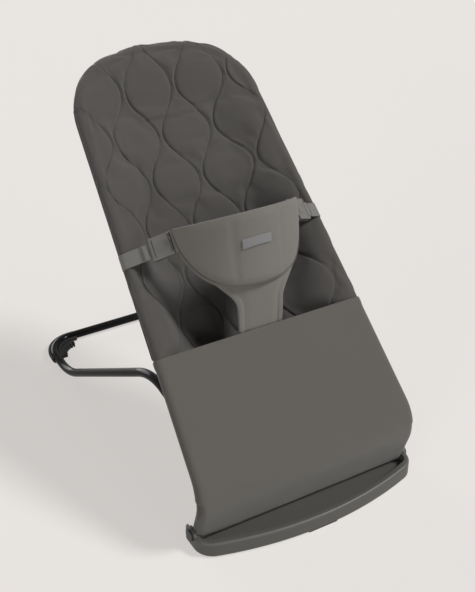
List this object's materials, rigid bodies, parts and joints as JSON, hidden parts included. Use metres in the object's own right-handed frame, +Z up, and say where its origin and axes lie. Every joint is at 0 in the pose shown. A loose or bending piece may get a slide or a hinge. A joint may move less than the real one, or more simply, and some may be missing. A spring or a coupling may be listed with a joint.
{
  "type": "bouncer seat",
  "caption": "Baby bouncer seat: a quilted sling on a bent steel hoop with a buckled bib, a dished front base and a hinged rear leg tube that sets the recline.",
  "frame": {"origin": "on the floor, at the middle of the object's length and width", "axes": "+X across the seat to the right of a child who sits in it facing -Y seen from the front, +Y to the head end, +Z up"},
  "size_m": [0.43, 0.71, 0.6236],
  "materials": {
    "base_plastic": "fine moulded grain",
    "black_plastic": "fine moulded grain",
    "buckle_plastic": "satin moulded",
    "rubber": "matt",
    "zinc_steel": "zinc plated",
    "black_steel": "gloss black powder coat",
    "edge_fabric": "woven binding",
    "plain_fabric": "tight plain weave",
    "quilted_fabric": "quilted plain weave",
    "bib_fabric": "plain weave, piped edge",
    "label": "woven tape, bare",
    "webbing": "woven webbing"
  },
  "bodies": {
    "base": {"front_base": "base_plastic", "base_cover": "base_plastic", "foot_pads": "rubber", "base_screws": "zinc_steel"},
    "seat": {"seat_tube": "black_steel", "front_axle": "black_steel", "axle_cap_left": "black_plastic", "axle_cap_right": "black_plastic", "edge_sleeve": "edge_fabric", "lower_panel": "plain_fabric", "back_panel": "quilted_fabric", "pocket_gusset": "plain_fabric", "bib": "bib_fabric", "bib_label": "label", "crotch_strap": "bib_fabric", "strap_left": "webbing", "strap_right": "webbing", "buckle_clip_left": "buckle_plastic", "buckle_clip_right": "buckle_plastic", "hinge_bracket_left": "black_plastic", "hinge_bracket_right": "black_plastic", "bracket_screws": "zinc_steel", "hinge_rivet_left": "zinc_steel", "hinge_rivet_right": "zinc_steel", "button_spring_left": "zinc_steel", "button_spring_right": "zinc_steel"},
    "leg": {"leg_tube": "black_steel", "leg_knuckle_left": "black_plastic", "leg_knuckle_right": "black_plastic", "rear_shoe_left": "rubber", "rear_shoe_right": "rubber"},
    "lock_button_right": {"lock_button_right": "black_plastic"},
    "buckle_block_right": {"buckle_block_right": "buckle_plastic"},
    "clip_arm_lower_right": {"clip_arm_lower_right": "buckle_plastic"},
    "clip_arm_upper_right": {"clip_arm_upper_right": "buckle_plastic"},
    "lock_button_left": {"lock_button_left": "black_plastic"},
    "buckle_block_left": {"buckle_block_left": "buckle_plastic"},
    "clip_arm_lower_left": {"clip_arm_lower_left": "buckle_plastic"},
    "clip_arm_upper_left": {"clip_arm_upper_left": "buckle_plastic"}
  },
  "joints": [
    {"name": "seat_recline", "type": "hinge", "parent": "base", "child": "seat", "pos_m": [0, -0.285, 0.023], "axis": [1, 0, 0], "range_deg": [-28, 0]},
    {"name": "leg_fold", "type": "hinge", "parent": "seat", "child": "leg", "pos_m": [0, -0.20775, 0.16322], "axis": [1, 0, 0], "range_deg": [-1, 35.16]},
    {"name": "lock_button_right_press", "type": "slide", "parent": "seat", "child": "lock_button_right", "axis": [1, 0, 0], "range_m": [0, 0.004], "stiffness_N_per_m": 400, "springref_m": -0.002, "deforming": ["button_spring_right"]},
    {"name": "buckle_right_release", "type": "slide", "parent": "seat", "child": "buckle_block_right", "axis": [0.8279, 0.4104, -0.3823], "range_m": [0, 0.015]},
    {"name": "clip_arm_lower_right_squeeze", "type": "hinge", "parent": "seat", "child": "clip_arm_lower_right", "pos_m": [0.11235, -0.07814, 0.40266], "axis": [0.5584, -0.5396, 0.63], "range_deg": [0, 5], "stiffness_Nm_per_rad": 0.2},
    {"name": "clip_arm_upper_right_squeeze", "type": "hinge", "parent": "seat", "child": "clip_arm_upper_right", "pos_m": [0.11064, -0.05411, 0.42477], "axis": [-0.5584, 0.5396, -0.63], "range_deg": [0, 5], "stiffness_Nm_per_rad": 0.2},
    {"name": "lock_button_left_press", "type": "slide", "parent": "seat", "child": "lock_button_left", "axis": [-1, 0, 0], "range_m": [0, 0.004], "stiffness_N_per_m": 400, "springref_m": -0.002, "deforming": ["button_spring_left"]},
    {"name": "buckle_left_release", "type": "slide", "parent": "seat", "child": "buckle_block_left", "axis": [-0.8279, 0.4104, -0.3823], "range_m": [0, 0.015]},
    {"name": "clip_arm_lower_left_squeeze", "type": "hinge", "parent": "seat", "child": "clip_arm_lower_left", "pos_m": [-0.11235, -0.07814, 0.40266], "axis": [0.5584, 0.5396, -0.63], "range_deg": [0, 5], "stiffness_Nm_per_rad": 0.2},
    {"name": "clip_arm_upper_left_squeeze", "type": "hinge", "parent": "seat", "child": "clip_arm_upper_left", "pos_m": [-0.11064, -0.05411, 0.42477], "axis": [-0.5584, -0.5396, 0.63], "range_deg": [0, 5], "stiffness_Nm_per_rad": 0.2}
  ],
  "couplings": [
    {"joint": "leg_fold", "follows": "seat_recline", "ratio": -1.22}
  ]
}
